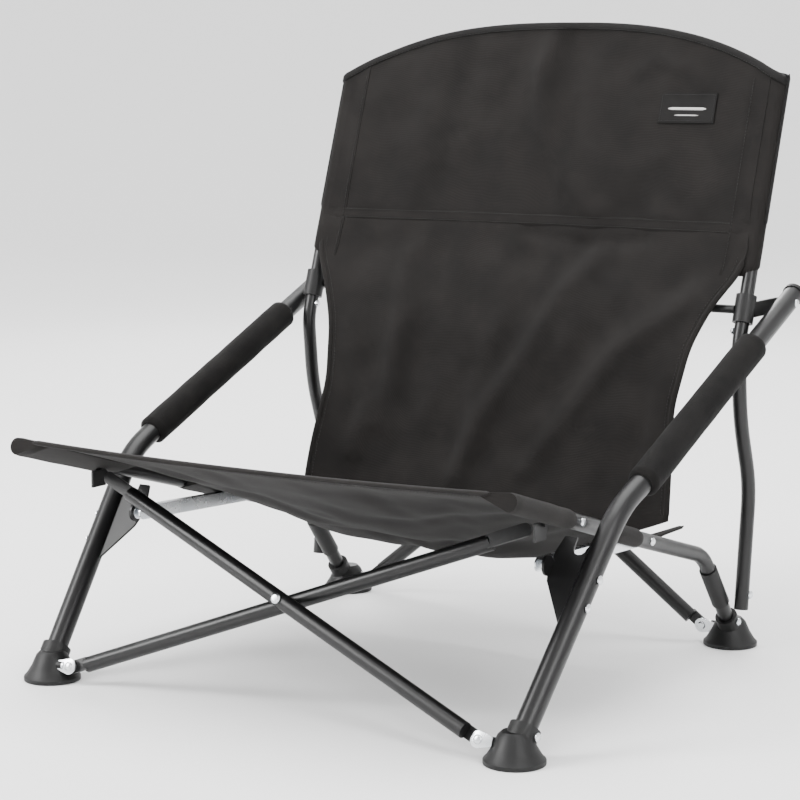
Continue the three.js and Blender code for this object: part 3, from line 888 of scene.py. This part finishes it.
def yoke_plate(name, hinge, top, side, body):
    """The bright plate that joins a crossed tube's flattened foot to the chair's foot."""
    start = at(side * hinge[0], hinge[1], hinge[2])
    rise = Vector((0, top[1] - hinge[1], top[2] - hinge[2])).normalized()
    facing = Vector((0, -rise.z, rise.y))
    outward = Vector((side, 0, 0))
    proud = (5.3 if side > 0 else 1.9) * MM
    outline = [(14.5, 4.6), (14.5, -4.6)]
    for k in range(17):
        turn = -math.pi / 2 - math.pi * k / 16
        outline.append((math.cos(turn) * 8.2, math.sin(turn) * 8.2))
    sections = []
    for inset, depth in ((0.92, 0.0), (1.0, 0.3), (1.0, 1.4), (0.92, 1.7)):
        ring = []
        for a, b in outline:
            spot = outward * (a * inset * MM) + rise * (b * inset * MM)
            ring.append(start + facing * (proud + depth * MM) + spot)
        if side < 0:
            ring.reverse()
        sections.append(ring)
    piece(name, *loft(sections), ZINC, body, "zinc_steel", angle=30)
    dome(f"{name}_rivet", start + facing * (proud + 1.7 * MM), facing, 4.4 * MM, 2.2 * MM, body)


for side, tag in SIDES:
    yoke_plate(f"front_yoke_plate_{tag}", FRONT_HINGE, FRONT_TOP, side, f"front_yoke_{tag}")
    yoke_plate(f"rear_yoke_plate_{tag}", REAR_HINGE, REAR_TOP, side, f"rear_yoke_{tag}")
    spot = at(side * (ARM_END[0] + 10.8), ARM_END[1] - 15, ARM_END[2] - 6.5)
    dome(f"arm_end_rivet_{tag}", spot, Vector((side, 0, 0)), 4.2 * MM, 2.2 * MM, f"leg_{tag}")

# ---- the soft pieces get their own mesh data; the cut sizes are worked out but not kept ----
for made in [back, *back_bits]:
    fold_back(made)
for made in [seat, *seat_bits]:
    fold_seat(made)
cut_of(BACK_GRID)
cut_of(SEAT_GRID)
cut_of(PATCH_GRID)

# ---- stage, light and camera ----


def stage():
    """A pale bowl: flat floor that curves up into a far wall."""
    flat, bend, wall, turns = 3.4, 2.6, 4.5, 72
    profile = [(0.05, 0.0), (1.0, 0.0), (2.2, 0.0), (flat, 0.0)]
    for k in range(1, 13):
        turn = math.pi / 2 * k / 12
        profile.append((flat + bend * math.sin(turn), bend * (1 - math.cos(turn))))
    profile.append((flat + bend, bend + wall))
    verts = [
        (r * math.cos(2 * math.pi * k / turns), r * math.sin(2 * math.pi * k / turns), z - 0.0004)
        for r, z in profile for k in range(turns)
    ]
    faces = [
        (i * turns + k, i * turns + (k + 1) % turns,
         (i + 1) * turns + (k + 1) % turns, (i + 1) * turns + k)
        for i in range(len(profile) - 1) for k in range(turns)
    ]
    faces.append(tuple(reversed(range(turns))))
    mesh = bpy.data.meshes.new("pale_floor")
    mesh.from_pydata(verts, [], faces)
    mesh.shade_smooth()
    made, shader = material("pale_floor", (0.86, 0.86, 0.86), 0.85)
    mesh.materials.append(made)
    floor = bpy.data.objects.new("pale_floor", mesh)
    bpy.context.scene.collection.objects.link(floor)


def softbox(name, place, target, size, power):
    data = bpy.data.lights.new(name, "AREA")
    data.shape = "RECTANGLE"
    data.size, data.size_y = size
    data.energy = power
    made = bpy.data.objects.new(name, data)
    bpy.context.scene.collection.objects.link(made)
    made.location = place
    made.rotation_euler = (Vector(target) - Vector(place)).to_track_quat("-Z", "Y").to_euler()


def camera():
    """The main viewpoint: a long lens a little above the seat, from the chair's left."""
    azimuth, elevation = math.radians(32.653), math.radians(8.152)
    heading = Vector((
        -math.sin(azimuth) * math.cos(elevation),
        math.cos(azimuth) * math.cos(elevation),
        -math.sin(elevation),
    ))
    data = bpy.data.cameras.new("view")
    data.sensor_width = 36
    data.lens = 106.02
    made = bpy.data.objects.new("view", data)
    bpy.context.scene.collection.objects.link(made)
    made.location = (1.29115, -2.04923, 0.62318)
    made.rotation_euler = heading.to_track_quat("-Z", "Y").to_euler()
    bpy.context.scene.camera = made


stage()
MIDDLE = (0, 0, 0.32)
softbox("key", (-2.3, -2.3, 2.2), MIDDLE, (1.2, 2.2), 190)
softbox("fill", (2.9, -1.6, 1.9), MIDDLE, (1.2, 2.2), 80)
softbox("top", (0.0, 0.2, 3.3), MIDDLE, (3.0, 3.0), 170)
softbox("rim", (-1.6, 2.6, 2.0), MIDDLE, (1.4, 1.8), 60)
world = bpy.data.worlds.new("soft")
bpy.context.scene.world = world
world.use_nodes = True
world.node_tree.nodes["Background"].inputs["Color"].default_value = (1, 1, 1, 1)
world.node_tree.nodes["Background"].inputs["Strength"].default_value = 1.3
camera()

low, high = CAD_BOX
